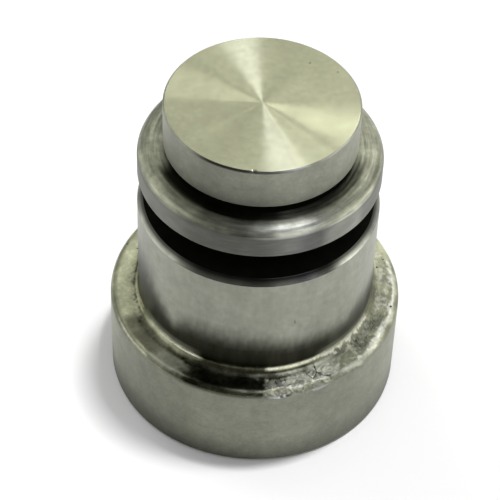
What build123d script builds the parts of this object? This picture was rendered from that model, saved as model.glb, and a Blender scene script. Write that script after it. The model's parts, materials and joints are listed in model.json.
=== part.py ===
from build123d import *
import math
import os

# A locating pin, turned from one steel bar and standing on its collar.
# Millimetres. The origin is the centre of the base face, and +Z runs up the axis to the head.

# Collar, the wide foot that stops the pin, standing out past the barrel all round
shoulder_width = 3.0
collar_height = 11.0
collar_rim_radius = 0.8
base_edge_break = 0.3

# Barrel, the ground cylinder that locates in the bore, with a small radius where it meets the collar
barrel_diameter = 25.0
barrel_length = 13.7
barrel_chamfer = 0.6
barrel_foot_radius = 1.0

# Locking groove between the barrel and the land
groove_width = 3.65
groove_floor_diameter = 18.0

# Land, the narrow ring above the groove, a running clearance under the barrel's size
land_clearance = 0.05
land_width = 3.35
land_shoulder_radius = 1.1
land_edge_break = 0.15

# Undercut, the narrow slot below the head
undercut_width = 0.9
undercut_floor_diameter = 15.5

# Head, the face-turned disc at the top
head_diameter = 19.7
head_thickness = 4.8
head_edge_break = 0.15

# Dents beaten into the collar's rim: bearing in degrees from +X, ball radius, depth below the corner
rim_dents = [
    (281.0, 6.0, 0.62),
    (296.0, 7.0, 0.58),
    (318.0, 3.0, 0.46),
    (219.0, 4.0, 0.46),
]

# Radii and levels that follow from the sizes above
barrel_radius = barrel_diameter / 2
collar_radius = barrel_radius + shoulder_width
groove_floor_radius = groove_floor_diameter / 2
land_radius = barrel_radius - land_clearance
undercut_floor_radius = undercut_floor_diameter / 2
head_radius = head_diameter / 2

groove_bottom = collar_height + barrel_length
land_bottom = groove_bottom + groove_width
undercut_bottom = land_bottom + land_width
head_bottom = undercut_bottom + undercut_width
head_top = head_bottom + head_thickness


with BuildPart() as pin_body:
    # Half of the pin's section, from the base face up to the head
    with BuildSketch(Plane.XZ) as section:
        with BuildLine():
            Polyline(
                (0, 0),
                (collar_radius, 0),
                (collar_radius, collar_height),
                (barrel_radius, collar_height),
                (barrel_radius, groove_bottom),
                (groove_floor_radius, groove_bottom),
                (groove_floor_radius, land_bottom),
                (land_radius, land_bottom),
                (land_radius, undercut_bottom),
                (undercut_floor_radius, undercut_bottom),
                (undercut_floor_radius, head_bottom),
                (head_radius, head_bottom),
                (head_radius, head_top),
                (0, head_top),
                close=True,
            )
        make_face()

        def corner(radius, level):
            """The section's corner nearest to this radius and level."""
            return section.vertices().sort_by_distance((radius, level))[0]

        fillet(corner(collar_radius, collar_height), collar_rim_radius)
        fillet(corner(land_radius, undercut_bottom), land_shoulder_radius)
        fillet(corner(barrel_radius, collar_height), barrel_foot_radius)
        chamfer(corner(collar_radius, 0), base_edge_break)
        chamfer(corner(barrel_radius, groove_bottom), barrel_chamfer)
        chamfer(corner(land_radius, land_bottom), land_edge_break)
        for level in (head_bottom, head_top):
            chamfer(corner(head_radius, level), head_edge_break)
    revolve(axis=Axis.Z)

    # Each dent is a ball that bites the rim's corner from 45 degrees above and outside
    for bearing, ball_radius, depth in rim_dents:
        stand_off = (ball_radius - depth) * math.sin(math.radians(45))
        reach = collar_radius + stand_off
        angle = math.radians(bearing)
        centre = (reach * math.cos(angle), reach * math.sin(angle), collar_height + stand_off)
        with Locations(centre):
            Sphere(ball_radius, mode=Mode.SUBTRACT)

os.makedirs("parts", exist_ok=True)
pin_body.part.label = "pin_body"
export_step(pin_body.part, "parts/pin_body.step")
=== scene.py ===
import json
import math

import bpy
import numpy as np
from bpy.props import FloatProperty, FloatVectorProperty, IntProperty, PointerProperty
from mathutils import Matrix, Vector


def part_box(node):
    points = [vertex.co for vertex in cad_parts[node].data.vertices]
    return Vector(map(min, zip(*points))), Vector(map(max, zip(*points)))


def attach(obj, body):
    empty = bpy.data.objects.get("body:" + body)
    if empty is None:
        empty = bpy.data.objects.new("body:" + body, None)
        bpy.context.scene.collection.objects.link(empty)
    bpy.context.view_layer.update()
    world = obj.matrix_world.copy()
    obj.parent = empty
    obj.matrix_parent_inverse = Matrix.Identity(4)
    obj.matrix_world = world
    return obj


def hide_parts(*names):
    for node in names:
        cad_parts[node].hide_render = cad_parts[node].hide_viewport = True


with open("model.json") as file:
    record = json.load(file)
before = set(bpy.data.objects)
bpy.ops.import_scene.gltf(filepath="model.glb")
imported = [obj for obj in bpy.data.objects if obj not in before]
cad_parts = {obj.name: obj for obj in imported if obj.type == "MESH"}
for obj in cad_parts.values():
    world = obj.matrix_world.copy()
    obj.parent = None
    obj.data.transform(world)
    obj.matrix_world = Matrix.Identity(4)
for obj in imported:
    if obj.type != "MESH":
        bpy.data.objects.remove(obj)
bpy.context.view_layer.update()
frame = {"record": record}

bl_info = {
    "name": "Locating pin",
    "version": (1, 0, 0),
    "blender": (4, 5, 0),
    "location": "3D View > Sidebar > Locating pin",
    "description": "A turned and ground steel locating pin on a wide, beaten collar",
    "category": "Add Mesh",
}

# Everything about the pin is worked out in millimetres, and put into the mesh in metres.
MM = 0.001

# The finishes, in the order of the pin's material slots
FACE_TURNED, SIDE_TURNED, GROUND, EDGE, LAND, LAND_TOP, RECESS, BEATEN = range(8)


# Sizes that the frame gives

def mount_span(name):
    """Radius, lower level and upper level of one of the record's round mounts, in millimetres."""
    mount = next(m for m in frame["record"]["mounts"] if m["name"] == name)
    radius = mount["dims"]["r_mm"]
    middle = mount["pos_m"][2] / MM
    half = mount["dims"]["length_mm"] / 2
    return radius, middle - half, middle + half


PIN_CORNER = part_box("pin_body")[1]
COLLAR_RADIUS = PIN_CORNER.x / MM
PIN_HEIGHT = PIN_CORNER.z / MM
BARREL_RADIUS, BARREL_LOW, BARREL_HIGH = mount_span("barrel")
LAND_RADIUS, LAND_LOW, LAND_HIGH = mount_span("land")
HEAD_RADIUS, HEAD_LOW, HEAD_HIGH = mount_span("head")


class PinSizes(bpy.types.PropertyGroup):
    """The small sizes of the pin, which finish the sizes that the frame gives."""

    rim_radius: FloatProperty(name="Rim radius", description="Rounding of the collar's upper rim",
                              default=0.8 * MM, unit="LENGTH")
    foot_radius: FloatProperty(name="Foot radius", description="Radius in the corner at the barrel's foot",
                               default=1.0 * MM, unit="LENGTH")
    base_break: FloatProperty(name="Base edge", description="Chamfer round the base face",
                              default=0.3 * MM, unit="LENGTH")
    barrel_chamfer: FloatProperty(name="Barrel chamfer", description="Chamfer at the top of the barrel",
                                  default=0.6 * MM, unit="LENGTH")
    shoulder_radius: FloatProperty(name="Land shoulder", description="Rounding of the land's upper edge",
                                   default=1.1 * MM, unit="LENGTH")
    shoulder_reach: FloatProperty(name="Shoulder reach", description="How far in the land's rounding reaches",
                                  default=1.6 * MM, unit="LENGTH")
    edge_break: FloatProperty(name="Small edges", description="Chamfer on the land's foot and on the head",
                              default=0.15 * MM, unit="LENGTH")
    groove_floor: FloatProperty(name="Groove floor", description="Radius of the locking groove's floor",
                                default=9.0 * MM, unit="LENGTH")
    undercut_floor: FloatProperty(name="Undercut floor", description="Radius at the bottom of the undercut",
                                  default=7.75 * MM, unit="LENGTH")
    edge_rounding: FloatProperty(name="Edge rounding", description="How far a crisp corner is softened",
                                 default=0.04 * MM, unit="LENGTH")
    bearings: IntProperty(name="Bearings", description="Points round the pin", default=560, min=60)


class PinWear(bpy.types.PropertyGroup):
    """How the pin has been knocked about."""

    seed: IntProperty(name="Seed", description="Start of the random numbers for dents and wear", default=7)
    blow_count: IntProperty(name="Blows", description="Small overlapping dents in the mashed stretch",
                            default=240)
    blow_depth: FloatProperty(name="Blow depth", description="Depth of the deepest small dent",
                              default=0.04 * MM, unit="LENGTH")
    face_wear: FloatProperty(name="Worn face", description="How far wear has sunk the collar's face",
                             default=0.03 * MM, unit="LENGTH")
    ripple_depth: FloatProperty(name="Ripple depth", description="Depth of the tool marks on the land's top",
                                default=0.014 * MM, unit="LENGTH")
    ripple_pitch: FloatProperty(name="Ripple pitch", description="Spacing of those tool marks",
                                default=0.55 * MM, unit="LENGTH")


class PinColours(bpy.types.PropertyGroup):
    """Colours of the finishes."""

    head_face: FloatVectorProperty(name="Head face", description="Face-turned top of the head",
                                   subtype="COLOR", default=(0.46, 0.47, 0.31), min=0, max=1)
    side: FloatVectorProperty(name="Turned side", description="Sides of the collar and the head",
                              subtype="COLOR", default=(0.27, 0.28, 0.222), min=0, max=1)
    barrel: FloatVectorProperty(name="Barrel", description="Ground barrel",
                                subtype="COLOR", default=(0.33, 0.34, 0.282), min=0, max=1)
    edge: FloatVectorProperty(name="Cut edge", description="Smooth chamfer at the top of the barrel",
                              subtype="COLOR", default=(0.21, 0.215, 0.18), min=0, max=1)
    land: FloatVectorProperty(name="Land", description="Dark grey side of the land",
                              subtype="COLOR", default=(0.19, 0.192, 0.17), min=0, max=1)
    land_top: FloatVectorProperty(name="Land top", description="Olive film on the land's top",
                                  subtype="COLOR", default=(0.33, 0.34, 0.25), min=0, max=1)
    collar_face: FloatVectorProperty(name="Collar face", description="Olive, oil-filmed face of the collar",
                                     subtype="COLOR", default=(0.40, 0.41, 0.27), min=0, max=1)
    worn: FloatVectorProperty(name="Worn steel", description="Grey steel where the film is rubbed away",
                              subtype="COLOR", default=(0.215, 0.222, 0.152), min=0, max=1)
    # The burnished colour also paints highlights: the bright line round the barrel's foot, the bright bands
    # and thread along the rim, and part of a patch on the left of the face
    burnished_and_highlight: FloatVectorProperty(name="Burnished", description="Steel rubbed bright",
                                   subtype="COLOR", default=(0.78, 0.785, 0.66), min=0, max=1)
    head_side: FloatVectorProperty(name="Head side", description="Side of the head",
                                   subtype="COLOR", default=(0.318, 0.325, 0.265), min=0, max=1)
    # This dark colour also paints shade: the black front of the collar's face, the crescent on the land's
    # top, the corner at the barrel's foot, part of the dark band up the barrel and the recesses
    grime_and_shade: FloatVectorProperty(name="Grime", description="Old oil and dirt in corners and pits",
                               subtype="COLOR", default=(0.016, 0.016, 0.009), min=0, max=1)


class StageLook(bpy.types.PropertyGroup):
    """Floor, lamps, room and camera."""

    elevation: FloatProperty(name="Elevation", description="How far the camera looks down",
                             default=math.radians(46.685), unit="ROTATION")
    roll: FloatProperty(name="Roll", description="Turn of the picture about its centre",
                        default=math.radians(2.2249), unit="ROTATION")
    camera_place: FloatVectorProperty(name="Camera place", description="Where the camera stands",
                                      subtype="XYZ", unit="LENGTH",
                                      default=(-0.000673, -0.151255, 0.176591))
    lens: FloatProperty(name="Lens", description="Focal length in millimetres", default=150.04)
    floor_colour: FloatVectorProperty(name="Floor", description="Pale floor", subtype="COLOR",
                                      default=(0.9, 0.9, 0.9), min=0, max=1)
    overhead_power: FloatProperty(name="Overhead lamp", description="Power of the lamp above", default=8.2)
    side_power: FloatProperty(name="Side lamp", description="Power of the large lamp behind", default=5.5)
    surround: FloatProperty(name="Surround", description="Light of the room on matt surfaces", default=0.48)
    dim: FloatProperty(name="Dim room", description="Brightness of the room between its panels", default=0.22)
    overhead_panel: FloatProperty(name="Overhead panel", description="Brightness of the panel above",
                                  default=4.5)
    front_panel: FloatProperty(name="Front panel", description="Brightness of the panel's front part",
                               default=6.0)
    side_panel: FloatProperty(name="Side panel", description="Brightness of the panel on the right",
                              default=2.7)
    window: FloatProperty(name="Window", description="Brightness of the window at the back right",
                          default=6.6)
    walls: FloatProperty(name="Walls", description="Brightness of the pale walls", default=1.2)
    panel_colour: FloatVectorProperty(name="Panel colour", description="Cool white of the overhead panel",
                                      subtype="COLOR", default=(0.98, 0.98, 1.25), min=0, max=2)


# Shape

def straight(start, end, steps, rounding):
    """Points on the straight line from start to end: start plus a share of the way to end. The shares are
    even, with one more point close to each end, which keeps the corner there crisp."""
    start, end = np.array(start, float), np.array(end, float)
    near = rounding / np.linalg.norm(end - start)
    share = np.concatenate([[0.0, near], np.linspace(near, 1 - near, steps + 1)[1:-1], [1 - near, 1.0]])
    return start + share[:, None] * (end - start)


def arc(centre, radii, first, last, steps):
    """Points on a circle, or on an ellipse with two radii: centre plus the radii times the cosine and sine of
    angles from first to last."""
    angle = np.radians(np.linspace(first, last, steps + 1))
    return np.array(centre, float) + np.array(radii) * np.stack([np.cos(angle), np.sin(angle)], axis=-1)


def pin_section(sizes):
    """Half of the pin's section as rows of (radius, level) in millimetres, from the middle of the base face
    out, up and in to the middle of the head, and the finish of each strip between two rows."""
    rim, foot, base = sizes.rim_radius / MM, sizes.foot_radius / MM, sizes.base_break / MM
    chamfer, shoulder, edge = sizes.barrel_chamfer / MM, sizes.shoulder_radius / MM, sizes.edge_break / MM
    groove, undercut = sizes.groove_floor / MM, sizes.undercut_floor / MM
    reach, soft = sizes.shoulder_reach / MM, sizes.edge_rounding / MM
    face = BARREL_LOW - foot
    groove_bottom, groove_top = BARREL_HIGH + chamfer, LAND_LOW - edge
    land_top, head_bottom = LAND_HIGH + shoulder, HEAD_LOW - edge

    # Bands that are divided more finely, and how far inside the head's edge the undercut's black painted
    # shade starts
    worn_side, worn_wall, head_rim, lip = 1.2, 6.0, 0.5, 0.3

    # The degrees of the rim's and the shoulder's rounding that are finished like the side below them
    rim_turn, shoulder_turn = 24, 20

    rows, finishes = [np.zeros((1, 2))], []

    def curve(points, finish):
        """Goes on along these points, of which the first is already there."""
        rows.append(points[1:])
        finishes.extend([finish] * (len(points) - 1))

    def line(radius, level, steps, finish):
        """Goes on straight to this radius and level."""
        curve(straight(rows[-1][-1], (radius, level), steps, soft), finish)

    line(COLLAR_RADIUS - base, 0, 2, FACE_TURNED)
    line(COLLAR_RADIUS, base, 1, SIDE_TURNED)
    line(COLLAR_RADIUS, face - rim - worn_side, 2, SIDE_TURNED)
    line(COLLAR_RADIUS, face - rim, 7, SIDE_TURNED)
    curve(arc((COLLAR_RADIUS - rim, face - rim), rim, 0, rim_turn, 4), SIDE_TURNED)
    curve(arc((COLLAR_RADIUS - rim, face - rim), rim, rim_turn, 90, 11), BEATEN)
    line(BARREL_RADIUS + foot, face, 13, BEATEN)
    curve(arc((BARREL_RADIUS + foot, BARREL_LOW), foot, 270, 180, 16), BEATEN)
    line(BARREL_RADIUS, BARREL_LOW + worn_wall, 8, GROUND)
    line(BARREL_RADIUS, BARREL_HIGH, 2, GROUND)
    line(BARREL_RADIUS - chamfer, groove_bottom, 2, EDGE)
    line(groove, groove_bottom, 1, RECESS)
    line(groove, groove_top, 1, RECESS)
    line(LAND_RADIUS - edge, groove_top, 1, RECESS)
    line(LAND_RADIUS, LAND_LOW, 1, LAND)
    line(LAND_RADIUS, LAND_HIGH, 3, LAND)
    curve(arc((LAND_RADIUS - reach, LAND_HIGH), (reach, shoulder), 0, shoulder_turn, 3), LAND)
    curve(arc((LAND_RADIUS - reach, LAND_HIGH), (reach, shoulder), shoulder_turn, 90, 12), LAND_TOP)
    line(HEAD_RADIUS - lip, land_top, 13, LAND_TOP)
    line(undercut, land_top, 1, RECESS)
    line(undercut, head_bottom, 1, RECESS)
    line(HEAD_RADIUS - edge, head_bottom, 1, RECESS)
    line(HEAD_RADIUS, HEAD_LOW, 1, SIDE_TURNED)
    line(HEAD_RADIUS, HEAD_HIGH, 3, SIDE_TURNED)
    line(HEAD_RADIUS - edge, PIN_HEIGHT, 2, SIDE_TURNED)
    line(HEAD_RADIUS - edge - head_rim, PIN_HEIGHT, 3, FACE_TURNED)
    line(0, PIN_HEIGHT, 3, FACE_TURNED)
    return np.concatenate(rows), np.array(finishes)


def outward_normals(section):
    """For each row, the direction at right angles to the section, to the right of its travel."""
    along = np.gradient(section, axis=0)
    normal = np.stack([along[:, 1], -along[:, 0]], axis=-1)
    return normal / np.linalg.norm(normal, axis=1)[:, None]


def ramp(value, low, high):
    """0 below low, 1 above high, and the smooth cubic 3t2 - 2t3 between them."""
    t = np.clip((value - low) / (high - low), 0, 1)
    return t * t * (3 - 2 * t)


def between(bearing, start, end, soft):
    """1 for bearings from start to end, counted upwards and past 360, falling to 0 over soft degrees."""
    half = (end - start) % 360 / 2
    away = np.abs((bearing - start - half + 180) % 360 - 180)
    return 1 - ramp(away, half, half + soft)


# The bearings between which the points stand closer, in degrees
CROWDED = (262.0, 324.0)


def spaced_turns(count):
    """Turns round the pin, in radians: even steps of a running total that grows three and a half times as
    fast over the mashed stretch, so that the points stand closer there."""
    fine = np.arange(0, 360, 0.05)
    total = np.cumsum(1 + 2.5 * between(fine, *CROWDED, 12))
    return np.radians(np.interp(np.arange(count) / count * total[-1], total - total[0], fine))


def waves(points, shortest, longest, count, random):
    """A sum of count plane waves of random direction, length and phase, scaled to about -1 to 1."""
    direction = random.normal(size=(count, 3))
    direction /= np.linalg.norm(direction, axis=1)[:, None]
    length = np.exp(random.uniform(np.log(shortest), np.log(longest), count))
    phase = random.uniform(0, 2 * np.pi, count)
    total = np.zeros(points.shape[:-1])
    for way, size, start in zip(direction, length, phase):
        total += np.sin(points @ way * (2 * np.pi / size) + start)
    return total / math.sqrt(count)


# The four great dents in the rim: bearing in degrees, ball radius and depth in millimetres
RIM_DENTS = [(281.0, 6.0, 0.62), (296.0, 7.0, 0.58), (318.0, 3.0, 0.46), (219.0, 4.0, 0.46)]

# Cracks in the mashed stretch, as corners of (bearing in degrees, millimetres in from the side)
CRACKS = [
    [(299.6, 3.0), (299.2, 2.2), (296.2, 1.55), (294.5, 2.35)],
    [(299.2, 2.2), (301.0, 1.5), (303.2, 1.1)],
    [(284.2, 2.65), (284.6, 2.05)],
    [(282.2, 2.5), (282.8, 2.1)],
    [(280.3, 2.2), (280.9, 1.8)],
]
CRACK_HALF_WIDTH, CRACK_DEPTH = 0.075, 0.06

# How far in from the side the small blows fall, from and to, in millimetres
BLOW_REACH = (-0.1, 3.1)

# Bright rubbed strokes, written like the cracks
STROKES = [
    [(268.5, 0.35), (271.5, 0.55), (274.5, 1.05)],
    [(276.2, 1.9), (279.0, 1.2), (280.5, 0.5)],
]
STROKE_HALF_WIDTH = 0.08

# How far the dark band of dirt and painted dark reflection reaches up the barrel: bearing in degrees, and
# millimetres above its foot
WALL_DIRT_AND_SHADE = [
    (20.0, 5.0), (90.0, 4.5), (165.0, 5.0), (182.0, 7.2), (194.0, 9.4), (202.0, 8.8), (208.0, 8.0),
    (216.0, 6.0), (228.0, 3.0), (236.0, 4.8), (248.0, 5.3), (260.0, 5.0), (272.0, 4.6), (290.0, 3.9),
    (305.0, 3.6), (320.0, 3.3), (330.0, 4.8), (350.0, 5.2),
]

# How far above the barrel's foot that dark band starts, in the same way; below it the foot is clean and
# carries the painted highlight of the foot line
WALL_DIRT_AND_SHADE_START = [
    (20.0, 0.0), (150.0, 0.0), (168.0, -0.5), (190.0, -0.5), (204.0, -0.2), (212.0, 0.3), (226.0, 0.3),
    (238.0, 0.0), (248.0, -0.4), (284.0, -0.45), (300.0, -0.35), (312.0, 0.1), (335.0, 0.3), (350.0, 0.2),
]

# How brightly the mashed stretch is rubbed: bearing in degrees, and share
MASH_SHINE = [
    (262.0, 0.2), (275.0, 0.2), (279.0, 0.36), (284.0, 0.6), (298.0, 0.55), (305.0, 0.4), (311.0, 0.25),
    (324.0, 0.25),
]

# Dark pits: bearing in degrees, radius, level and size in millimetres
COLLAR_PITS = [
    (350.0, 14.8, 11.0, 0.2), (17.0, 14.5, 11.0, 0.13), (13.0, 13.5, 11.0, 0.16), (160.0, 15.0, 11.0, 0.16),
    (161.0, 13.7, 11.0, 0.12), (185.0, 12.95, 11.0, 0.14), (338.0, 13.6, 11.0, 0.12),
]
BARREL_PITS = [(289.4, 12.5, 18.2, 0.14), (289.4, 12.5, 18.45, 0.14), (205.9, 12.5, 15.9, 0.14)]
LAND_PITS = [(253.9, 12.0, 31.5, 0.15)]
HEAD_PITS = [(52.8, 7.64, 37.4, 0.16), (33.4, 8.9, 37.4, 0.14)]


def by_bearing(bearing, table):
    """The table's value at each bearing: straight between its rows, and on past 360 degrees."""
    stops, values = zip(*table)
    return np.interp(bearing, stops, values, period=360)


def press_rim_dents(points, level):
    """Points inside a dent's ball move straight away from its centre until they lie on it. The ball lies
    along the line at 45 degrees above and outside the rim's corner, which is at this level."""
    for bearing, ball, depth in RIM_DENTS:
        stand_off = (ball - depth) * math.sin(math.radians(45))
        reach, turn = COLLAR_RADIUS + stand_off, math.radians(bearing)
        centre = np.array([reach * math.cos(turn), reach * math.sin(turn), level + stand_off])
        away = points - centre
        distance = np.linalg.norm(away, axis=-1)
        inside = distance < ball
        points[inside] = centre + away[inside] * (ball / distance[inside])[:, None]


def blow_field(around, inwards, wear, random):
    """Depth of many small blows, over millimetres around the pin and inwards from its side. Each blow is a
    tilted plane with a rising bowl round it, depth + tilt . offset - steepness (distance - flat)^2, and the
    deepest blow wins."""
    count, steepness = wear.blow_count, 1.4
    low, high = around.min(), around.max()
    spots = np.stack([random.uniform(low, high, count), random.uniform(*BLOW_REACH, count)], axis=-1)
    tilts = random.normal(0, 0.05, (count, 2))
    depths = random.uniform(0.1, 1.0, count) * wear.blow_depth / MM
    flats = random.uniform(0.04, 0.2, count)
    deepest = np.zeros(around.shape)
    for (x, y), (tilt_x, tilt_y), depth, flat in zip(spots, tilts, depths, flats):
        off_x, off_y = around - x, inwards - y
        bowl = np.clip(np.hypot(off_x, off_y) - flat, 0, None)
        deepest = np.maximum(deepest, depth + tilt_x * off_x + tilt_y * off_y - steepness * bowl ** 2)
    return deepest


def line_field(around, inwards, lines, half_width):
    """How near each place lies to one of the lines, from 0 to 1: it falls with the distance from the nearest
    point of the line's straight runs, to 0 at half_width."""
    nearest = np.full(around.shape, np.inf)
    for corners in lines:
        places = [(math.radians(bearing) * COLLAR_RADIUS, inward) for bearing, inward in corners]
        for (x0, y0), (x1, y1) in zip(places, places[1:]):
            run_x, run_y = x1 - x0, y1 - y0
            share = ((around - x0) * run_x + (inwards - y0) * run_y) / (run_x ** 2 + run_y ** 2)
            share = np.clip(share, 0, 1)
            gap = np.hypot(around - x0 - share * run_x, inwards - y0 - share * run_y)
            nearest = np.minimum(nearest, gap)
    return 1 - ramp(nearest, 0.2 * half_width, half_width)


class Wear:
    """The pin's wear and painted light: the dents of the collar, which go into its shape, and how dark with
    dirt and painted shade, how bright with rubbing and painted highlights, how bare of its film, how dull and
    how mashed each point of the grid is.

    A place on the collar is told by its bearing and by the millimetres along the section, counted inwards
    from where the rim leaves the side: over the rim, across the face to face_end, round the foot, and then
    up the wall of the barrel."""

    def __init__(self, points, section, turns, sizes, wear):
        random = np.random.default_rng(wear.seed)
        rim, foot = sizes.rim_radius / MM, sizes.foot_radius / MM
        face = BARREL_LOW - foot
        shape = points.shape[:2]
        self.bearing = np.broadcast_to(np.degrees(turns), shape)
        self.radius, self.level = (np.broadcast_to(section[:, i:i + 1], shape) for i in range(2))

        steps = np.linalg.norm(np.diff(section, axis=0), axis=1)
        travel = np.concatenate([[0], np.cumsum(steps)])
        start = np.argmin(np.abs(section[:, 0] - COLLAR_RADIUS) + np.abs(section[:, 1] - face + rim))
        self.inwards = np.broadcast_to((travel - travel[start])[:, None], shape)
        self.face_end = math.pi / 2 * rim + COLLAR_RADIUS - rim - BARREL_RADIUS - foot
        self.up_wall = self.inwards - self.face_end - math.pi / 2 * foot

        # Noise of three sizes, from -1 to 1, with its shortest and longest waves in millimetres
        self.coarse = np.clip(waves(points, 1.2, 5.0, 16, random), -1, 1)
        self.middle = np.clip(waves(points, 0.4, 1.4, 24, random), -1, 1)
        self.fine = np.clip(waves(points, 0.16, 0.5, 30, random), -1, 1)

        # The mashed stretch, with a ragged edge on the side and a straight one at the foot
        ragged = 0.25 * self.middle
        mashed = self.stretch(280, 305, 9, 3 * self.middle + 2 * self.coarse)
        self.mashed = mashed * self.strip((0.25 - ragged, 0.65 - ragged), (2.35, 2.75))
        self.right_side = self.stretch(320, 18, 8)
        # A patch on the left of the face: duller, and painted lighter, partly as rubbed steel and partly as a
        # painted highlight
        self.patch = self.stretch(228, 238, 6, 2 * self.middle)
        self.patch = self.patch * self.strip((0.5, 1.0), (self.face_end - 0.1, self.face_end + 0.2))

        blows = self.blows_and_lines(np.degrees(turns), wear, random)
        press_rim_dents(points, face)
        self.press_in(points, section, turns, blows, wear)

    def stretch(self, start, end, soft, shift=0.0):
        """1 for bearings from start to end, in degrees, falling to 0 over soft. A shift bends the ends."""
        return between(self.bearing + shift, start, end, soft)

    def strip(self, rise, fall):
        """1 for a strip of the collar: it comes up over the first two distances inwards and fades over the
        last two."""
        return ramp(self.inwards, *rise) * (1 - ramp(self.inwards, *fall))

    def blows_and_lines(self, bearings, wear, random):
        """Works out the cracks, the bright strokes and the small blows over the part of the grid that holds
        them, and returns the depth of the blows."""
        columns = np.flatnonzero(between(bearings, 268, 318, 0.5) > 0)
        rows = np.flatnonzero((self.inwards[:, 0] > -0.6) & (self.inwards[:, 0] < 3.4))
        box = np.ix_(rows, columns)
        around, inwards = np.radians(self.bearing[box]) * COLLAR_RADIUS, self.inwards[box]
        blows, self.crack, self.stroke = (np.zeros(self.inwards.shape) for _ in range(3))
        blows[box] = blow_field(around, inwards, wear, random)
        self.crack[box] = line_field(around, inwards, CRACKS, CRACK_HALF_WIDTH)
        self.stroke[box] = line_field(around, inwards, STROKES, STROKE_HALF_WIDTH)
        return blows

    def press_in(self, points, section, turns, blows, wear):
        """Moves the points straight into the surface by the depth of the wear: the worn face, the mashed
        stretch, its cracks, and the shallow overlapping strokes on the rim at the right."""
        worn = wear.face_wear / MM * self.strip((0.5, 1.6), (2.0, 2.8)) * (0.5 + 0.5 * self.coarse)
        pounded = blows + 0.012 * (1 + self.fine) + 0.026 * (1 + self.middle)
        strokes = self.stretch(308, 22, 6) * self.strip((0.1, 0.6), (1.4, 2.0)) * (0.5 + 0.5 * self.middle)
        depth = worn + self.mashed * pounded + CRACK_DEPTH * self.crack + 0.014 * strokes
        normal = outward_normals(section)
        out, up = normal[:, :1], normal[:, 1:]
        outward = np.stack(np.broadcast_arrays(out * np.cos(turns), out * np.sin(turns), up), axis=-1)
        points -= outward * depth[..., None]

    def wall_dirt_and_shade(self):
        """A dark band up the barrel from its foot, partly dirt and partly a painted dark reflection, a little
        thinner at the front right.
        """
        start = by_bearing(self.bearing, WALL_DIRT_AND_SHADE_START)
        reach = by_bearing(self.bearing, WALL_DIRT_AND_SHADE) * (1 + 0.06 * self.middle)
        wall = ramp(self.up_wall, start, start + 0.4) * (1 - ramp(self.up_wall, 0.42 * reach, 1.25 * reach))
        return 0.97 * wall * (1 - 0.15 * self.stretch(312, 336, 6))

    def corner_painted_shade(self):
        """Painted shade: a dark line where the face meets the foot, wavy on the left and the right, and a
        darker stretch on the foot at the front and the left.
        """
        face_end, left_side = self.face_end, self.stretch(150, 240, 6)
        wobble = 0.3 * self.middle + 0.15 * self.coarse
        sooner = self.inwards + 0.25 * self.stretch(279, 306, 4) - 0.3 * self.stretch(158, 203, 4)
        sooner = sooner + (self.right_side + 0.35 * left_side) * wobble
        corner = ramp(sooner, face_end + 0.08 - 0.3 * left_side, face_end + 0.32 + 0.1 * left_side)
        corner = corner * (1 - ramp(self.inwards, face_end + 0.8 - 0.2 * left_side, face_end + 1.0))
        corner = corner * (0.65 + 0.3 * self.stretch(240, 294, 5) - 0.3 * self.stretch(301, 308, 6)
                           + 0.1 * self.stretch(160, 236, 4) - 0.35 * self.stretch(324, 20, 6))
        on_foot = ramp(self.inwards, face_end + 0.8, face_end + 1.0) * (self.up_wall < 0.3)
        return corner + 0.95 * on_foot * (self.stretch(247, 275, 3) + 0.5 * self.stretch(170, 207, 5))

    def face_painted_shade(self):
        """Painted dark reflection: the black stretch at the front, whose right end slants, and fainter
        painted shade beside it on the left, along the rim on the left, and on the right.
        """
        face_end = self.face_end
        slant = 5 * ramp(self.inwards, 0.6, 2.0) * (self.bearing > 260)
        front = self.stretch(248, 270, 15, 1.5 * self.middle - slant)
        front = front * self.strip((-0.1, 0.55), (face_end + 0.3, face_end + 0.6))
        left_rim = self.stretch(158, 203, 4) * self.strip((0.05, 0.3), (0.75, 1.0))
        left = self.stretch(207, 223, 5) * self.strip((0.9, 1.3), (face_end, face_end + 0.3))
        right = self.stretch(322, 342, 5) * self.strip((1.4, 1.7), (face_end + 0.3, face_end + 0.8))
        return 0.86 * front + 0.4 * left_rim + 0.25 * left + 0.35 * right

    def land_painted_shade(self):
        """Painted shade: a black crescent on the land's top beside the undercut, where the head's dark
        underside is mirrored, and two fainter patches.
        """
        on_top = (self.level > LAND_HIGH + 0.4) & (self.level < HEAD_LOW)
        crescent = self.stretch(208, 338, 14) * (1 - ramp(self.radius, 10.4, 11.0))
        crescent = crescent * (1 - 0.25 * self.stretch(286, 345, 8))
        front = self.stretch(243, 266, 6) * (self.radius < 12)
        left = self.stretch(157, 172, 5) * (1 - ramp(self.radius, 10.7, 11.1))
        return on_top * (0.97 * crescent + 0.35 * front + 0.5 * left)

    def specks(self):
        """Blotches beside the foot on the left, a line on the rim at the front left, specks on the right."""
        blotch = self.stretch(150, 204, 5) * ramp(self.middle + 0.6 * self.fine, 0.25, 1.1)
        blotch = blotch * ramp(self.inwards, self.face_end - 0.4, self.face_end - 0.1) * (self.up_wall < 0.3)
        rim_line = self.stretch(226, 246, 4) * self.strip((0.4, 0.6), (0.8, 1.05))
        speck = self.right_side * ramp(self.fine - 0.5 * self.middle, 0.45, 0.85)
        speck = speck * ramp(self.inwards, 0.9, 1.3) * (self.inwards < self.face_end + 0.3)
        return 0.25 * blotch + 0.4 * rim_line + 0.32 * speck

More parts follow.
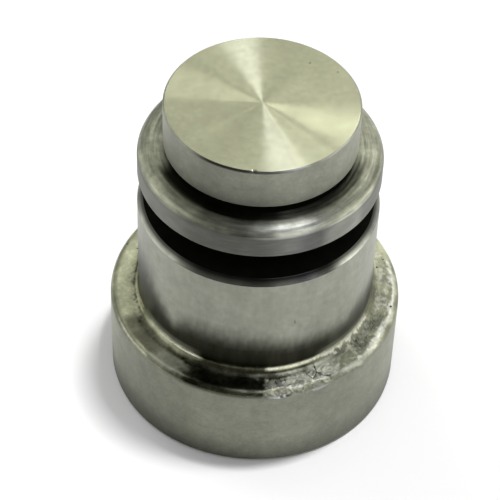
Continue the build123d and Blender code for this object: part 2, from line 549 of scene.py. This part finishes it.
    def grime_and_shade(self):
        """How dark with dirt and painted shade: the blows knock half of it off the mashed stretch, except out
        of its cracks.
        """
        pits = 0.3 * ramp(self.fine, 0.3, 0.9) + 0.2 * ramp(self.middle, 0.2, 0.8)
        dirt_and_shade = self.wall_dirt_and_shade() + self.corner_painted_shade() + self.face_painted_shade() + self.land_painted_shade()
        dirt_and_shade = dirt_and_shade + 0.8 * self.crack + self.mashed * pits
        return dirt_and_shade * (1 - 0.5 * self.mashed * (self.crack < 0.1)) + self.specks()

    def foot_highlight(self):
        """A painted highlight: the bright line round the barrel's foot, up to where the wall's dark band
        starts.
        """
        early = 0.22 * self.stretch(309, 342, 5) + 0.07 * self.fine
        early = early + (0.05 + 0.3 * self.stretch(313, 328, 4)) * self.middle
        start = by_bearing(self.bearing, WALL_DIRT_AND_SHADE_START)
        line = ramp(self.inwards + early, self.face_end + 1.0, self.face_end + 1.18)
        line = line * (1 - ramp(self.up_wall, start + 0.05, start + 0.3))
        left = self.stretch(224, 240, 6) + 0.4 * self.stretch(212, 220, 3)
        return line * (self.stretch(277, 338, 3) + left)

    def rim_highlights(self):
        """Painted highlights: bright bands with wavy edges along the rim on the right, and a thin bright
        thread on its left.
        """
        wavy = 0.15 * self.coarse + 0.1 * self.middle
        far = self.stretch(328, 14, 5) * self.strip((0.65 + wavy, 1.0 + wavy), (1.3 + wavy, 1.5 + wavy))
        near = self.stretch(311, 327, 4) * self.strip((0.3, 0.5), (0.9 + wavy, 1.1 + wavy))
        thread = self.stretch(203, 222, 4) * self.strip((0.44, 0.56), (0.64, 0.76))
        return 0.5 * far + 0.25 * near + 0.5 * thread

    def rubbed_mash(self):
        """The mashed stretch, bright towards the face and only in flecks towards the side."""
        dark_fleck = 1 - ramp(self.fine + 0.6 * self.middle, -0.2, 0.6)
        shine = self.mashed * by_bearing(self.bearing, MASH_SHINE)
        shine = shine * (1 - 0.85 * self.stretch(288, 308, 4) * (1 - ramp(self.inwards, 0.7, 1.2)))
        shine = shine * (1 - 0.7 * dark_fleck * (1 - ramp(self.inwards, 0.7, 1.3)))
        shine = shine + 0.16 * self.mashed * (self.strip((1.0, 1.4), (1.7, 2.2)) - (self.inwards < 0.9))
        return shine * (0.8 + 0.2 * self.middle + 0.2 * self.fine)

    def rubbed_and_highlight(self):
        """How bright it is rubbed, with the painted highlights of the foot line and the rim, and a patch on
        the left that is partly rubbed and partly a painted highlight.
        """
        flecks = self.right_side * ramp(self.middle + 0.5 * self.fine, 0.3, 0.8)
        flecks = flecks * self.strip((0.7, 1.1), (self.face_end + 0.5, self.face_end + 1.0))
        return (1.1 * self.foot_highlight() + self.rim_highlights() + self.rubbed_mash() + 0.35 * self.patch
                + 0.45 * self.stroke + 0.4 * flecks)

    def bare(self):
        """How far the film is off: over the whole face on the right, and along the rim at the front and the
        left."""
        return (self.stretch(304, 10, 8) * (0.75 + 0.25 * self.coarse)
                + 0.8 * self.stretch(289, 312, 5) * (1 - ramp(self.inwards, 0.9, 1.4))
                + 0.8 * self.stretch(270, 308, 6) * (1 - ramp(self.inwards, 0.35, 0.75))
                + 0.85 * self.stretch(192, 243, 8) * (1 - ramp(self.inwards, 0.75, 1.05)))

    def dull(self):
        """How dull it is: most in the mashed stretch, and least where the film is whole."""
        left = self.stretch(155, 205, 6) * ramp(self.inwards, 0.5, 0.9)
        return (0.6 * self.patch + 0.5 * left + 0.6 * self.stretch(205, 226, 4) + 1.2 * self.mashed
                + 0.4 * self.bare() + 0.4 * self.right_side)

    def tones(self):
        """The tones that the finishes read, by name, each from 0 to 1."""
        made = {"grime_and_shade": self.grime_and_shade(), "rubbed_and_highlight": self.rubbed_and_highlight(), "bare": self.bare(), "dull": self.dull(),
                "mashed": self.mashed}
        return {name: np.clip(tone, 0, 1) for name, tone in made.items()}


# The nick in the head's upper edge: its bearings in degrees, and how far it goes down and in, in millimetres
NICK = (265.9, 267.1)
NICK_DOWN, NICK_IN = 0.07, 0.02


def nick_head(points, radius, bearing):
    """Presses the small nick into the head's upper edge: points near it move down and in."""
    near = between(bearing, *NICK, 1.0) * ramp(radius, HEAD_RADIUS - 0.24, HEAD_RADIUS - 0.13)
    near = near * ramp(points[..., 2], HEAD_HIGH - 0.2, HEAD_HIGH)
    points[..., 2] -= NICK_DOWN * near
    points[..., :2] *= (1 - NICK_IN * near / HEAD_RADIUS)[..., None]


def ripple_land(points, section, turns, wear):
    """Tool marks on the land's top: a cosine of the distance from the axis, one turn for each pitch, whose
    phase wanders a little round the pin. It only ever lowers the face."""
    pitch, depth = wear.ripple_pitch / MM, wear.ripple_depth / MM
    phase = 2 * np.pi * section[:, :1] / pitch + 0.7 * np.sin(turns + 0.4) + 0.5 * np.sin(3 * turns)
    strength = 0.6 + 0.4 * np.sin(2 * turns + 1.1) * np.cos(section[:, :1] * 1.7)
    on_top = (section[:, 1:] > LAND_HIGH + 0.9) & (section[:, 1:] < HEAD_LOW - 0.5)
    points[..., 2] -= on_top * depth * strength * (1 + np.cos(phase))


def turned_mesh(name, finishes, points):
    """A closed mesh from a grid of points, rows along the section and columns round the pin. The first and
    last rows lie on the axis, and each shrinks to one point with a fan of triangles round it."""
    rows, columns = points.shape[:2]
    rings = points[1:-1].reshape(-1, 3)
    base, head = len(rings), len(rings) + 1
    vertices = np.concatenate([rings, points[:1, 0], points[-1:, 0]])
    ring = (np.arange(rows - 2) * columns)[:, None]
    here = ring + np.arange(columns)
    beside = ring + (np.arange(columns) + 1) % columns
    quads = np.stack([here[:-1], beside[:-1], beside[1:], here[1:]], axis=-1).reshape(-1, 4)
    low_fan = np.stack([np.full(columns, base), beside[0], here[0]], axis=-1)
    high_fan = np.stack([np.full(columns, head), here[-1], beside[-1]], axis=-1)

    mesh = bpy.data.meshes.new(name)
    corners = np.concatenate([quads.ravel(), low_fan.ravel(), high_fan.ravel()])
    sizes = np.concatenate([np.full(len(quads), 4), np.full(2 * columns, 3)])
    mesh.vertices.add(len(vertices))
    mesh.vertices.foreach_set("co", (vertices * MM).ravel())
    mesh.loops.add(len(corners))
    mesh.loops.foreach_set("vertex_index", corners)
    mesh.polygons.add(len(sizes))
    mesh.polygons.foreach_set("loop_start", np.concatenate([[0], np.cumsum(sizes)[:-1]]))
    mesh.polygons.foreach_set("material_index", np.concatenate([
        np.repeat(finishes[1:-1], columns), np.full(columns, finishes[0]), np.full(columns, finishes[-1])]))
    mesh.update(calc_edges=True)
    mesh.validate()
    mesh.shade_smooth()
    return mesh


def add_tone(mesh, name, grid):
    """Stores a grid of values, one for each point, as the mesh's own attribute."""
    values = np.concatenate([grid[1:-1].ravel(), grid[:1, 0], grid[-1:, 0]])
    tone = mesh.attributes.new(name, "FLOAT", "POINT")
    tone.data.foreach_set("value", values.astype(np.float32))


# Finishes

def node(tree, kind, **settings):
    """A new node of this kind, with its settings."""
    made = tree.nodes.new(kind)
    for key, value in settings.items():
        setattr(made, key, value)
    return made


def fill(tree, socket, value):
    """Links the socket if value is an output, and otherwise sets it. A colour gets its alpha."""
    if isinstance(value, bpy.types.NodeSocket):
        tree.links.new(value, socket)
    elif socket.type == "RGBA":
        socket.default_value = (*value[:3], 1.0)
    else:
        socket.default_value = value


def sums(tree, operation, *values):
    """A Math node's result for these values."""
    made = node(tree, "ShaderNodeMath", operation=operation)
    for socket, value in zip(made.inputs, values):
        fill(tree, socket, value)
    return made.outputs[0]


def product(tree, first, *others):
    """All the values multiplied together."""
    for other in others:
        first = sums(tree, "MULTIPLY", first, other)
    return first


def vector_sums(tree, operation, *values):
    """A Vector Math node's result for these values."""
    made = node(tree, "ShaderNodeVectorMath", operation=operation)
    for socket, value in zip(made.inputs, values):
        fill(tree, socket, value)
    return made.outputs["Value" if operation in ("LENGTH", "DISTANCE", "DOT_PRODUCT") else "Vector"]


def split(tree, vector):
    """The three parts of a vector or of a colour."""
    parts = node(tree, "ShaderNodeSeparateXYZ")
    tree.links.new(vector, parts.inputs[0])
    return parts.outputs


def spread(tree, value, low, high, to_low, to_high):
    """Moves value from the range low to high into the range to_low to to_high, and clamps it there."""
    made = node(tree, "ShaderNodeMapRange", clamp=True)
    for socket, item in zip(made.inputs, (value, low, high, to_low, to_high)):
        fill(tree, socket, item)
    return made.outputs[0]


def blend(tree, share, first, second, how="MIX"):
    """Colours first and second mixed by share."""
    made = node(tree, "ShaderNodeMix", data_type="RGBA", blend_type=how)
    for name, value in (("Factor_Float", share), ("A_Color", first), ("B_Color", second)):
        fill(tree, next(socket for socket in made.inputs if socket.identifier == name), value)
    return next(socket for socket in made.outputs if socket.identifier == "Result_Color")


def grain(tree, vector, scale, detail=4.0, rough=0.55):
    """Noise at this many cycles for each metre of the vector."""
    made = node(tree, "ShaderNodeTexNoise")
    fill(tree, made.inputs["Vector"], vector)
    made.inputs["Scale"].default_value = scale
    made.inputs["Detail"].default_value = detail
    made.inputs["Roughness"].default_value = rough
    return made.outputs["Fac"]


class Finish:
    """A steel finish: a material with its Principled shader, and the places that its patterns read. Turned
    steel has tool marks round the axis, which throw highlights along the pin's section: outwards on a face,
    and up and down on a side."""

    def __init__(self, name, colours, roughness=0.5, turned=0.0):
        self.grime_and_shade = colours.grime_and_shade
        self.material = bpy.data.materials.new(name)
        self.material.use_nodes = True
        self.tree = self.material.node_tree
        self.shader = self.tree.nodes["Principled BSDF"]
        self.shader.inputs["Metallic"].default_value = 1.0
        self.place = node(self.tree, "ShaderNodeTexCoord").outputs["Object"]
        x, y, self.z = split(self.tree, self.place)
        flat = node(self.tree, "ShaderNodeCombineXYZ")
        self.tree.links.new(x, flat.inputs[0])
        self.tree.links.new(y, flat.inputs[1])
        self.outward = vector_sums(self.tree, "NORMALIZE", flat.outputs[0])
        self.distance = vector_sums(self.tree, "LENGTH", flat.outputs[0])
        self.set("Roughness", roughness)
        if turned:
            self.set("Tangent", vector_sums(self.tree, "SUBTRACT", self.outward, (0.0, 0.0, 1.0)))
            self.shader.inputs["Anisotropic"].default_value = turned

    def set(self, socket, value):
        """Links or sets the shader's own socket."""
        fill(self.tree, self.shader.inputs[socket], value)

    def attribute(self, name):
        """The mesh's own tone of this name."""
        return node(self.tree, "ShaderNodeAttribute", attribute_name=name).outputs["Fac"]

    def noise(self, scale, detail=4.0, rough=0.55):
        """Noise through the steel, at this many cycles for each metre."""
        return grain(self.tree, self.place, scale, detail, rough)

    def rings(self, along, slow, scale, detail=3.0):
        """Noise drawn out round the pin: quick along one value, slow round the bearing."""
        lift = node(self.tree, "ShaderNodeCombineXYZ")
        self.tree.links.new(along, lift.inputs[2])
        round_it = vector_sums(self.tree, "MULTIPLY", self.outward, (slow, slow, slow))
        return grain(self.tree, vector_sums(self.tree, "ADD", round_it, lift.outputs[0]), scale, detail)

    def stretched(self, scale, squeeze):
        """Noise drawn out along the pin's axis."""
        made = node(self.tree, "ShaderNodeMapping")
        made.inputs["Scale"].default_value = (1.0, 1.0, squeeze)
        self.tree.links.new(self.place, made.inputs["Vector"])
        return grain(self.tree, made.outputs[0], scale)

    def facets(self, scale, bend):
        """A random value for each cell of a crazed pattern, whose edges are bent by noise."""
        shift = vector_sums(self.tree, "MULTIPLY", self.noise(2 * scale, 2), (bend, -bend, bend))
        made = node(self.tree, "ShaderNodeTexVoronoi")
        fill(self.tree, made.inputs["Vector"], vector_sums(self.tree, "ADD", self.place, shift))
        made.inputs["Scale"].default_value = scale
        return split(self.tree, made.outputs["Color"])[0]

    def spots(self, places):
        """1 inside small spots, each written as (bearing in degrees, radius, level, size), in millimetres."""
        total = 0.0
        for bearing, radius, level, size in places:
            turn = math.radians(bearing)
            centre = (radius * math.cos(turn) * MM, radius * math.sin(turn) * MM, level * MM)
            gap = vector_sums(self.tree, "DISTANCE", self.place, centre)
            total = sums(self.tree, "MAXIMUM", total, self.over(gap, 0.4 * size, size, 1, 0))
        return total

    def over(self, length, low, high, at_low, at_high):
        """Goes from at_low to at_high while a length goes from low to high, which are in millimetres."""
        return spread(self.tree, length, low * MM, high * MM, at_low, at_high)

    def ring(self, *radii):
        """1 in a ring about the axis, between the second and third radius, and 0 past the first and last."""
        rise = self.over(self.distance, *radii[:2], 0, 1)
        return product(self.tree, rise, self.over(self.distance, *radii[2:], 1, 0))

    def sector(self, bearing, half_width, soft):
        """1 within half_width degrees of this bearing, falling to 0 over soft degrees, by the cosine of the
        angle between them."""
        turn = math.radians(bearing)
        way = (math.cos(turn), math.sin(turn), 0.0)
        edges = [math.cos(math.radians(angle)) for angle in (half_width + soft, half_width)]
        return spread(self.tree, vector_sums(self.tree, "DOT_PRODUCT", self.outward, way), *edges, 0, 1)

    def tone(self, value, low, high):
        """Noise made into a multiplier between low and high."""
        return spread(self.tree, value, 0.3, 0.7, low, high)

    def shade(self, mask, amount):
        """A multiplier that is 1 where the mask is 0, and amount where it is 1."""
        return spread(self.tree, mask, 0, 1, 1, amount)

    def side_shade(self, bearing, half_width, soft, amount):
        """A multiplier that is amount in this sector, and 1 away from it."""
        return self.shade(self.sector(bearing, half_width, soft), amount)

    def tinted(self, colour, *tones):
        """A colour times each of the tones."""
        for tone in tones:
            colour = blend(self.tree, 1.0, colour, tone, "MULTIPLY")
        return colour

    def paint(self, clean, dirt_and_shade):
        """Gives the steel the colour clean, and the dark colour of grime and painted shade by the given
        share.
        """
        self.set("Base Color", blend(self.tree, dirt_and_shade, clean, self.grime_and_shade))

    def bump(self, height, depth):
        """Raises the surface by height, from 0 to 1, times depth in metres."""
        made = node(self.tree, "ShaderNodeBump")
        made.inputs["Distance"].default_value = depth
        fill(self.tree, made.inputs["Height"], height)
        self.set("Normal", made.outputs[0])


def face_turned_finish(colours):
    """Fine rings about the axis, which throw the light into bright sectors, under a faint cloudy film. A
    painted highlight brightens one sector, and painted shade darkens two.
    """
    finish = Finish("face_turned_steel", colours, roughness=0.26, turned=1.0)
    clean = finish.tinted(
        colours.head_face,
        finish.tone(finish.rings(finish.distance, 0.0004, 14000, 2), 0.97, 1.02),
        finish.tone(finish.noise(300, 6, 0.6), 0.9, 1.08),
        finish.tone(finish.noise(1700, 4, 0.6), 0.94, 1.05),
        # Painted highlight at 305 degrees, and painted shade at 155 and 198 degrees
        finish.side_shade(305, 9, 5, 1.25),
        finish.side_shade(155, 10, 12, 0.8),
        finish.side_shade(198, 14, 8, 0.88),
    )
    finish.paint(clean, product(finish.tree, finish.spots(HEAD_PITS), 0.6))
    return finish.material


def side_turned_finish(colours):
    """Fine lines round the sides of the collar and the head, under a dull mottle, with painted shade towards
    the floor and at the front and the left. The head's side has painted shade on the left, most at its foot,
    and a painted dark reflection on its brink at the front."""
    finish = Finish("side_turned_steel", colours, roughness=0.42, turned=0.8)
    tree = finish.tree
    speckle = finish.noise(3200, 3)
    on_head = sums(tree, "GREATER_THAN", finish.z, LAND_HIGH * MM)
    # Painted shade on the head's left, most at its foot
    head_left_shade = product(tree, finish.sector(235, 50, 20), on_head, finish.over(finish.z, 32.8, 36.0, 1.0, 0.3))
    # Painted dark reflection along the head's upper brink at the front
    brink = finish.over(finish.z, HEAD_HIGH - 0.16, HEAD_HIGH - 0.04, 0, 1)
    clean = finish.tinted(
        blend(tree, on_head, colours.side, colours.head_side),
        finish.tone(finish.rings(finish.z, 0.0008, 9000, 2), 0.96, 1.03),
        finish.tone(finish.noise(260, 6, 0.6), 0.88, 1.1),
        finish.tone(finish.noise(900, 5, 0.65), 0.88, 1.09),
        finish.tone(speckle, 0.92, 1.06),
        # Painted shade: darker towards the floor
        finish.over(finish.z, 0.2, 4.0, 0.5, 1.0),
        # Painted shade at the front and the left
        finish.side_shade(262, 40, 15, 0.93),
        finish.side_shade(222, 14, 14, 0.84),
        finish.shade(head_left_shade, 0.74),
        finish.shade(product(tree, finish.sector(260, 20, 14), brink), 0.3),
    )
    finish.paint(clean, finish.attribute("grime_and_shade"))
    finish.bump(speckle, 0.000004)
    return finish.material


def ground_finish(colours):
    """Fine grinding round the barrel, a mottle with faint streaks along it, a dark band near its foot that is
    partly dirt and partly a painted dark reflection, and painted shade at the front left.
    """
    finish = Finish("ground_steel", colours, roughness=0.36, turned=0.85)
    tree = finish.tree
    streaks = finish.stretched(1100, 0.2)
    clean = finish.tinted(
        colours.barrel,
        finish.tone(streaks, 0.92, 1.05),
        finish.tone(finish.noise(300, 5), 0.92, 1.05),
        finish.tone(finish.noise(1100, 5, 0.65), 0.88, 1.08),
        # Painted shade at the front left
        finish.side_shade(240, 34, 15, 0.9),
    )
    ragged = product(tree, finish.attribute("grime_and_shade"), finish.tone(streaks, 0.97, 1.02))
    finish.paint(clean, sums(tree, "MAXIMUM", ragged, product(tree, finish.spots(BARREL_PITS), 0.6)))
    return finish.material


def edge_finish(colours):
    """The smooth cut of the chamfer at the top of the barrel, with painted shade that turns its upper edge
    black, a painted dark reflection at the front, and painted highlights at the left and the right.
    """
    finish = Finish("cut_edge_steel", colours, roughness=0.22, turned=0.5)
    finish.set("Base Color", finish.tinted(
        colours.edge,
        finish.tone(finish.noise(600, 4), 0.8, 1.12),
        # Painted shade, black towards the upper edge; a painted dark reflection at the front, and painted
        # highlights at the left and the right
        finish.over(finish.z, BARREL_HIGH + 0.1, BARREL_HIGH + 0.46, 1.0, 0.14),
        finish.side_shade(281, 12, 6, 0.55),
        finish.side_shade(214, 14, 8, 1.6),
        finish.side_shade(325, 7, 6, 1.75),
    ))
    return finish.material


def land_colour(finish, colours):
    """Dark grey on the land's side, olive on its top, and painted highlights where the two meet at the front
    and the right.
    """
    tree = finish.tree
    on_top = finish.over(finish.distance, LAND_RADIUS - 0.25, LAND_RADIUS - 0.02, 1, 0)
    outer = finish.ring(12.12, 12.24, 12.40, 12.44)
    return finish.tinted(
        blend(tree, on_top, colours.land, colours.land_top),
        finish.tone(finish.noise(420, 5), 0.88, 1.1),
        # Painted highlights on the rounding at the front and the right
        finish.shade(product(tree, outer, finish.sector(286, 14, 8)), 1.75),
        finish.shade(product(tree, outer, finish.sector(321, 10, 8)), 1.65),
    )


def land_finish(colours):
    """The satin, dark side of the land, with painted shade at the front and a painted highlight at the right.
    """
    finish = Finish("land_steel", colours, roughness=0.4, turned=1.0)
    lines = finish.rings(sums(finish.tree, "ADD", finish.z, finish.distance), 0.0012, 4200)
    finish.set("Base Color", finish.tinted(
        land_colour(finish, colours),
        finish.tone(lines, 0.83, 1.11),
        # Painted shade at the front, and a painted highlight at the right
        finish.side_shade(281, 18, 8, 0.8),
        finish.side_shade(249, 7, 8, 0.8),
        finish.side_shade(313, 8, 5, 1.65),
    ))
    finish.bump(lines, 0.000006)
    return finish.material


def land_top_finish(colours):
    """The smoother, rippled top of the land under an olive film, black with painted shade beside the
    undercut. Painted shade darkens it inside the rounding on the right, in a narrow ring at the front, and in
    a short stretch at the front."""
    finish = Finish("land_top_steel", colours, roughness=0.37, turned=0.6)
    tree = finish.tree
    lines = finish.rings(finish.distance, 0.0012, 4200)
    inner = finish.over(finish.distance, 12.0, 12.3, 1, 0)
    shaded_ring = finish.ring(11.7, 11.82, 11.98, 12.1)
    clean = finish.tinted(
        land_colour(finish, colours),
        finish.tone(lines, 0.74, 1.18),
        finish.tone(finish.noise(1300, 5, 0.65), 0.8, 1.12),
        finish.tone(finish.noise(520, 5, 0.6), 0.82, 1.14),
        # Painted shade inside the rounding on the right, in a narrow ring at the front, and at the front
        finish.shade(product(tree, finish.sector(325, 23, 10), inner), 0.6),
        finish.shade(product(tree, shaded_ring, finish.sector(287, 10, 4)), 0.45),
        finish.side_shade(268, 7, 6, 0.6),
    )
    finish.paint(clean, sums(tree, "MAXIMUM", finish.attribute("grime_and_shade"), finish.spots(LAND_PITS)))
    finish.bump(lines, 0.000014)
    return finish.material


def recess_finish(colours):
    """Painted shade: a near-black matt colour in the locking groove and the undercut, which are dark with
    shade.
    """
    finish = Finish("painted_shade_recess", colours, roughness=0.7)
    dark = [0.3 * part for part in colours.grime_and_shade]
    finish.set("Base Color", finish.tinted(dark, finish.tone(finish.noise(700, 4), 0.5, 1.3)))
    finish.shader.inputs["Metallic"].default_value = 0.0
    finish.shader.inputs["Specular IOR Level"].default_value = 0.05
    return finish.material


def beaten_finish(colours):
    """The collar's worn top: an oily olive film, grey where it is worn off, bright where it is rubbed or
    struck and where highlights are painted, dark in cracks and where shade is painted, painted lighter on the
    left of the face, and with painted light and shade on the facets of the mashed stretch."""
    finish = Finish("beaten_steel", colours)
    tree = finish.tree
    cloud = finish.noise(520, 7, 0.62)
    fine = finish.noise(2600, 6, 0.6)
    facet = finish.facets(1500, 0.0005)
    mashed = finish.attribute("mashed")
    # Painted light: the face is made lighter on the left
    left = product(tree, finish.sector(180, 21, 3), finish.over(finish.distance, 14.75, 15, 1, 0))
    film = finish.tinted(
        blend(tree, finish.attribute("bare"), colours.collar_face, colours.worn),
        finish.tone(cloud, 0.64, 1.26),
        finish.tone(fine, 0.86, 1.12),
        finish.shade(left, 1.3),
    )
    rub_and_highlight = product(tree, finish.attribute("rubbed_and_highlight"), spread(tree, fine, 0.35, 0.6, 0.6, 1.0))
    # Painted light and shade: each facet of the mashed stretch is lighter or darker, as if tilted to the
    # light
    facet_light_and_shade = product(tree, mashed, spread(tree, facet, 0, 1, -0.42, 0.5))
    steel = finish.tinted(blend(tree, rub_and_highlight, film, colours.burnished_and_highlight), sums(tree, "ADD", facet_light_and_shade, 1.0))
    dirt_and_shade = product(tree, finish.attribute("grime_and_shade"), spread(tree, cloud, 0.3, 0.65, 1.15, 0.85))
    finish.paint(steel, sums(tree, "MAXIMUM", dirt_and_shade, finish.spots(COLLAR_PITS)))
    finish.set("Roughness", spread(tree, finish.attribute("dull"), 0, 1, 0.28, 0.58))
    height = sums(tree, "ADD", cloud, product(tree, fine, 0.3))
    finish.bump(sums(tree, "ADD", height, product(tree, mashed, facet)), 0.000018)
    return finish.material


class PinOperator(bpy.types.Operator):
    """Make the one-piece pin, from its base face to its head"""

    bl_idname = "mesh.locating_pin_body"
    bl_label = "Pin"

    def execute(self, context):
        sizes, wear, colours = context.scene.pin_sizes, context.scene.pin_wear, context.scene.pin_colours
        section, finishes = pin_section(sizes)
        turns = spaced_turns(sizes.bearings)

        # Each row of the section is carried round the axis: radius times cosine and sine, at its level
        points = np.stack(np.broadcast_arrays(
            section[:, :1] * np.cos(turns), section[:, :1] * np.sin(turns), section[:, 1:]), axis=-1).copy()
        ripple_land(points, section, turns, wear)
        nick_head(points, section[:, :1], np.degrees(turns))
        collar = Wear(points, section, turns, sizes, wear)

        mesh = turned_mesh("locating_pin", finishes, points)
        for name, grid in collar.tones().items():
            add_tone(mesh, name, grid)
        for make in (face_turned_finish, side_turned_finish, ground_finish, edge_finish, land_finish,
                     land_top_finish, recess_finish, beaten_finish):
            mesh.materials.append(make(colours))
        pin = bpy.data.objects.new("locating_pin", mesh)
        context.collection.objects.link(pin)
        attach(pin, "root")
        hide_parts("pin_body")
        return {"FINISHED"}


# Stage

def add_lamp(name, direction, distance, size, power, aim):
    """A square lamp at this distance along direction from aim, turned towards aim. It lights what is matt,
    and the room's panels stand in for it where it would be mirrored."""
    lamp = bpy.data.lights.new(name, "AREA")
    lamp.size = size
    lamp.energy = power
    made = bpy.data.objects.new(name, lamp)
    way = Vector(direction).normalized()
    made.location = aim + way * distance
    made.rotation_euler = way.to_track_quat("Z", "Y").to_euler()
    made.visible_glossy = False
    bpy.context.collection.objects.link(made)


def make_floor(look):
    """A broad flat floor of a pale, matt colour, which keeps the shadow."""
    mesh = bpy.data.meshes.new("floor")
    half = 3.0
    corners = [(-half, -half, 0), (half, -half, 0), (half, half, 0), (-half, half, 0)]
    mesh.from_pydata(corners, [], [(0, 1, 2, 3)])
    floor = bpy.data.objects.new("floor", mesh)
    material = bpy.data.materials.new("pale_floor")
    material.use_nodes = True
    shader = material.node_tree.nodes["Principled BSDF"]
    shader.inputs["Base Color"].default_value = (*look.floor_colour, 1.0)
    shader.inputs["Roughness"].default_value = 0.9
    shader.inputs["Specular IOR Level"].default_value = 0.0
    mesh.materials.append(material)
    bpy.context.collection.objects.link(floor)


class Room:
    """The directions of the room: turn, in degrees from the front to the right, and height, in degrees above
    the floor."""

    def __init__(self, tree):
        self.tree = tree
        self.x, self.y, self.z = split(tree, node(tree, "ShaderNodeTexCoord").outputs["Generated"])
        turn = sums(tree, "ARCTAN2", self.x, product(tree, self.y, -1.0))
        self.turn = product(tree, turn, math.degrees(1))
        self.height = product(tree, sums(tree, "ARCSINE", self.z), math.degrees(1))

    def band(self, value, low, high, soft):
        """1 where value is from low to high, falling to 0 over soft outside them."""
        rise = spread(self.tree, value, low - soft, low, 0, 1)
        return product(self.tree, rise, spread(self.tree, value, high, high + soft, 1, 0))

    def patch(self, turn, half_width, low, high, soft, strength):
        """A patch of this strength about turn, from height low to high, with soft edges."""
        away = sums(self.tree, "SUBTRACT", self.turn, turn)
        away = sums(self.tree, "ABSOLUTE", sums(self.tree, "WRAP", away, 180.0, -180.0))
        across = spread(self.tree, away, half_width, half_width + soft, 1, 0)
        return product(self.tree, across, self.band(self.height, low, high, soft), strength)

    def panel(self, near, far, strength):
        """A part of the overhead panel, which lies in a wedge of the directions (x, y) with its point where
        the head mirrors the camera: x / (0.686 - y) from 0.10 to 0.53, and y from near to far."""
        tree, tip, soft = self.tree, 0.686, 0.02
        slope = sums(tree, "DIVIDE", self.x, sums(tree, "MAXIMUM", sums(tree, "SUBTRACT", tip, self.y), 0.01))
        wedge = product(tree, self.band(slope, 0.10, 0.53, soft), self.band(self.y, near, far, soft))
        return product(tree, wedge, sums(tree, "GREATER_THAN", self.z, 0.2), strength)


def make_world(look):
    """A room that is white to the camera. The steel sees it dim, with pale walls on the left and behind, a
    panel above, a soft one on the right and a window at the back right."""
    world = bpy.data.worlds.new("room")
    bpy.context.scene.world = world
    world.use_nodes = True
    tree = world.node_tree
    room = Room(tree)

    # Turn, half width, lowest and highest height and softness in degrees, and brightness
    patches = [
        (-101, 27, 0, 50, 4, look.walls),
        (-66, 6, 20, 50, 3, 0.35 * look.walls),
        (-150, 18, 20, 44, 4, 0.42 * look.walls),
        (27, 7, 1, 42, 4, 0.8 * look.walls),
        (13, 8, 0, 10, 3, 0.8 * look.walls),
        (176, 10, 27, 60, 4, look.walls),
        (48, 24, 0, 15, 3, 0.75 * look.walls),
        (127, 40, 0, 19, 3, 1.1 * look.walls),
        (93, 18, 21, 47, 2, look.side_panel),
        (148, 9, 37, 51, 1.5, look.window),
    ]
    level = look.dim
    for patch in patches:
        level = sums(tree, "ADD", level, room.patch(*patch))
    overhead = room.panel(0.02, 0.38, look.overhead_panel)
    panel = sums(tree, "ADD", overhead, room.panel(-0.45, -0.02, look.front_panel))
    cool = blend(tree, 1.0, look.panel_colour, panel, "MULTIPLY")
    mirrored = blend(tree, 1.0, level, cool, "ADD")
    path = node(tree, "ShaderNodeLightPath")
    shown = blend(tree, path.outputs["Is Glossy Ray"], (look.surround,) * 3, mirrored)
    shown = blend(tree, path.outputs["Is Camera Ray"], shown, (1.0, 1.0, 1.0))
    back = tree.nodes["Background"]
    fill(tree, back.inputs["Color"], shown)
    back.inputs["Strength"].default_value = 1.0


def make_camera(look):
    """A camera that looks along +Y and down by the elevation, rolled about its own line of sight."""
    camera = bpy.data.cameras.new("camera")
    camera.lens = look.lens
    camera.sensor_width = 36.0
    made = bpy.data.objects.new("camera", camera)
    high, roll = look.elevation, look.roll
    ahead = Vector((0, math.cos(high), -math.sin(high)))
    right = Vector((1, 0, 0))
    down = Vector((0, -math.sin(high), -math.cos(high)))
    side = math.cos(roll) * right - math.sin(roll) * down
    below = math.sin(roll) * right + math.cos(roll) * down
    turned = Matrix((side, -below, -ahead)).transposed().to_4x4()
    made.matrix_world = Matrix.Translation(look.camera_place) @ turned
    bpy.context.collection.objects.link(made)
    bpy.context.scene.camera = made


class StageOperator(bpy.types.Operator):
    """Make the floor, the room, the lamps and the camera"""

    bl_idname = "scene.locating_pin_stage"
    bl_label = "Stage"

    def execute(self, context):
        look = context.scene.pin_stage
        middle = Vector((0, 0, PIN_HEIGHT * MM / 2))
        make_floor(look)
        make_world(look)
        make_camera(look)
        add_lamp("overhead_lamp", (0.18, 0.1, 0.978), 1.1, 0.12, look.overhead_power, middle)
        add_lamp("side_lamp", (-0.5, 0.5, 0.7), 1.6, 0.8, look.side_power, middle)
        context.scene.view_settings.view_transform = "Standard"
        return {"FINISHED"}


class PinPanel(bpy.types.Panel):
    """Buttons and sizes of the locating pin"""

    bl_idname = "VIEW3D_PT_locating_pin"
    bl_label = "Locating pin"
    bl_space_type = "VIEW_3D"
    bl_region_type = "UI"
    bl_category = "Locating pin"

    def draw(self, context):
        column = self.layout.column()
        column.operator(PinOperator.bl_idname)
        column.operator(StageOperator.bl_idname)
        for group in (getattr(context.scene, name) for name in GROUPS):
            box = column.box()
            for key in group.__annotations__:
                box.prop(group, key)


GROUPS = {"pin_sizes": PinSizes, "pin_wear": PinWear, "pin_colours": PinColours, "pin_stage": StageLook}
CLASSES = (*GROUPS.values(), PinOperator, StageOperator, PinPanel)


def register():
    """Registers the classes, and gives the scene its groups of settings."""
    for each in CLASSES:
        bpy.utils.register_class(each)
    for name, group in GROUPS.items():
        setattr(bpy.types.Scene, name, PointerProperty(type=group))


def unregister():
    """Takes the settings and the classes away again."""
    for name in GROUPS:
        delattr(bpy.types.Scene, name)
    for each in reversed(CLASSES):
        bpy.utils.unregister_class(each)


def main():
    """Makes the stage and the pin."""
    register()
    bpy.ops.scene.locating_pin_stage()
    bpy.ops.mesh.locating_pin_body()
    bpy.context.view_layer.update()


if __name__ == "__main__":
    main()
